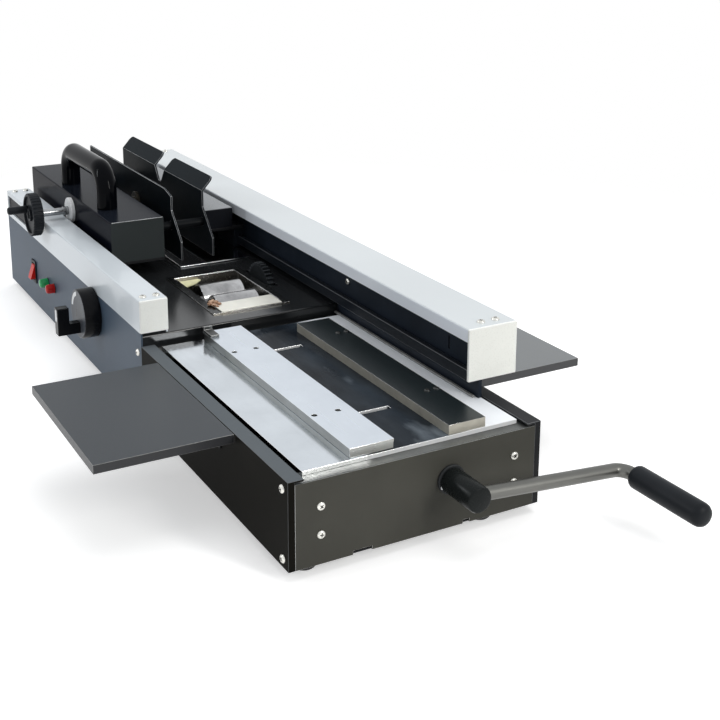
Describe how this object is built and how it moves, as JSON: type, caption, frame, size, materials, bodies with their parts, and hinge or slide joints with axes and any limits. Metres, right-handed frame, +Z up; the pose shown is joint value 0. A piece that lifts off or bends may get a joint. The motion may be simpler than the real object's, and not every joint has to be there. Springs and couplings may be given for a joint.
{
  "type": "perfect binding machine",
  "caption": "Desktop hot-glue book binder with a sliding clamp carriage, glue rollers in a heated tank, a cranked nipping station and cover tables.",
  "frame": {"origin": "middle of the whole machine's footprint, on the table under the feet", "axes": "+X along the machine towards the crank end, +Y from the control side to the back, +Z up"},
  "size_m": [1.214, 0.554, 0.249],
  "materials": {
    "black_powder": "textured",
    "table_paint": "satin",
    "clamp_paint": "satin",
    "beam_enamel": "gloss",
    "cream_plastic": "gloss",
    "polished_steel": "polished",
    "dark_steel": "satin",
    "satin_steel": "satin",
    "chrome": "polished",
    "cast_iron": "cast",
    "hub_black": "gloss",
    "black_plastic": "matt",
    "gloss_black": "gloss",
    "white_disc": "textured",
    "brass": "satin",
    "tank_aluminium": "heat stained",
    "blade_metal": "coated",
    "roller_steel": "satin",
    "motor_paint": "matt",
    "red_switch": "gloss",
    "green_lens": "gloss",
    "red_lens": "gloss",
    "foot_rubber": "matt",
    "screw_zinc": "yellow zinc"
  },
  "bodies": {
    "base": {"base_pan": "black_powder", "feet": "foot_rubber", "case_front_panel": "black_powder", "rear_panel": "black_powder", "power_inlet": "black_plastic", "deck_plate": "black_powder", "spine_plate": "polished_steel", "station_front_panel": "black_powder", "station_near_panel": "black_powder", "cross_bars": "polished_steel", "station_base_plate": "polished_steel", "right_nip_jaw": "polished_steel", "crank_bearings": "cast_iron", "front_rail": "black_powder", "front_beam_cover": "beam_enamel", "rear_beam_cover": "beam_enamel", "beam_caps": "cream_plastic", "rear_rail_wall": "black_powder", "rear_rail": "dark_steel", "glue_tank": "tank_aluminium", "heater_plate": "tank_aluminium", "doctor_blade": "blade_metal", "roller_motor": "motor_paint", "rocker_bezel": "black_plastic", "green_lamp": "green_lens", "red_lamp": "red_lens", "hinge_pins": "satin_steel", "tray_brackets": "black_powder", "panel_screws": "screw_zinc"},
    "rocker": {"rocker_button": "red_switch"},
    "knob": {"dial_knob": "gloss_black"},
    "front_table": {"front_tray": "table_paint"},
    "rear_table": {"rear_tray": "table_paint"},
    "nip_jaw": {"left_nip_jaw": "polished_steel", "cover_stop": "polished_steel", "jaw_racks": "satin_steel"},
    "crank": {"crank_shaft": "satin_steel", "crank_pinions": "satin_steel", "crank_hub": "hub_black", "crank_arm": "satin_steel"},
    "grip": {"crank_grip": "black_plastic"},
    "roller_1": {"glue_roller_1": "roller_steel", "drive_gear": "satin_steel"},
    "roller_2": {"glue_roller_2": "roller_steel", "driven_gear": "satin_steel"},
    "idler": {"idler_gear": "satin_steel"},
    "motor_gear": {"motor_pinion": "satin_steel"},
    "carriage": {"carriage_frame": "black_powder", "slide_blocks": "dark_steel", "carriage_cover": "black_powder", "carriage_handle": "gloss_black", "guide_rods": "chrome", "back_jaw": "clamp_paint", "screw_disc": "white_disc", "rear_box": "black_powder"},
    "clamp_screw": {"hand_screw": "chrome", "handwheel": "black_plastic"},
    "wheel_grip": {"wheel_stub": "black_plastic"},
    "front_clamp": {"front_jaw": "clamp_paint", "clamp_nut": "brass"}
  },
  "joints": [
    {"name": "rocker_tilt", "type": "hinge", "parent": "base", "child": "rocker", "pos_m": [-0.39, -0.134, 0.061], "axis": [1, 0, 0], "range_deg": [0, 14]},
    {"name": "knob_turn", "type": "hinge", "parent": "base", "child": "knob", "pos_m": [-0.101, -0.139, 0.087], "axis": [0, 1, 0], "range_deg": [0, 270]},
    {"name": "front_table_hinge", "type": "hinge", "parent": "base", "child": "front_table", "pos_m": [0.235, -0.145, 0.09], "axis": [1, 0, 0], "range_deg": [0, 40]},
    {"name": "rear_table_hinge", "type": "hinge", "parent": "base", "child": "rear_table", "pos_m": [0.235, 0.145, 0.09], "axis": [1, 0, 0], "range_deg": [-40, 0]},
    {"name": "crank_turn", "type": "hinge", "parent": "base", "child": "crank", "pos_m": [0.455, 0.033, 0.061], "axis": [1, 0, 0], "range_deg": [0, 184.93]},
    {"name": "nip_jaw_slide", "type": "slide", "parent": "base", "child": "nip_jaw", "axis": [0, 1, 0], "range_m": [0, 0.0581]},
    {"name": "grip_turn", "type": "hinge", "parent": "crank", "child": "grip", "pos_m": [0.512, 0.21331, 0.04522], "axis": [1, 0, 0], "continuous": true},
    {"name": "roller_1_turn", "type": "hinge", "parent": "base", "child": "roller_1", "pos_m": [-0.062, 0.062, 0.093], "axis": [0, 1, 0], "continuous": true},
    {"name": "motor_turn", "type": "hinge", "parent": "base", "child": "motor_gear", "pos_m": [-0.062, 0.062, 0.045], "axis": [0, 1, 0], "continuous": true},
    {"name": "idler_turn", "type": "hinge", "parent": "base", "child": "idler", "pos_m": [-0.038, 0.062, 0.093], "axis": [0, 1, 0], "continuous": true},
    {"name": "roller_2_turn", "type": "hinge", "parent": "base", "child": "roller_2", "pos_m": [-0.014, 0.062, 0.093], "axis": [0, 1, 0], "continuous": true},
    {"name": "carriage_slide", "type": "slide", "parent": "base", "child": "carriage", "axis": [1, 0, 0], "range_m": [0, 0.575]},
    {"name": "front_clamp_slide", "type": "slide", "parent": "carriage", "child": "front_clamp", "axis": [0, 1, 0], "range_m": [-0.02, 0.04]},
    {"name": "clamp_screw_turn", "type": "hinge", "parent": "carriage", "child": "clamp_screw", "pos_m": [-0.3265, -0.138, 0.1627], "axis": [0, 1, 0], "range_deg": [-721, 1441]},
    {"name": "wheel_grip_turn", "type": "hinge", "parent": "clamp_screw", "child": "wheel_grip", "pos_m": [-0.3418, -0.158, 0.16738], "axis": [0, 1, 0], "continuous": true}
  ],
  "couplings": [
    {"joint": "nip_jaw_slide", "follows": "crank_turn", "m_per_rad": 0.018},
    {"joint": "motor_turn", "follows": "roller_1_turn", "ratio": -3},
    {"joint": "idler_turn", "follows": "roller_1_turn", "ratio": -1},
    {"joint": "roller_2_turn", "follows": "roller_1_turn", "ratio": 1},
    {"joint": "clamp_screw_turn", "follows": "front_clamp_slide", "rad_per_m": 628.32}
  ]
}
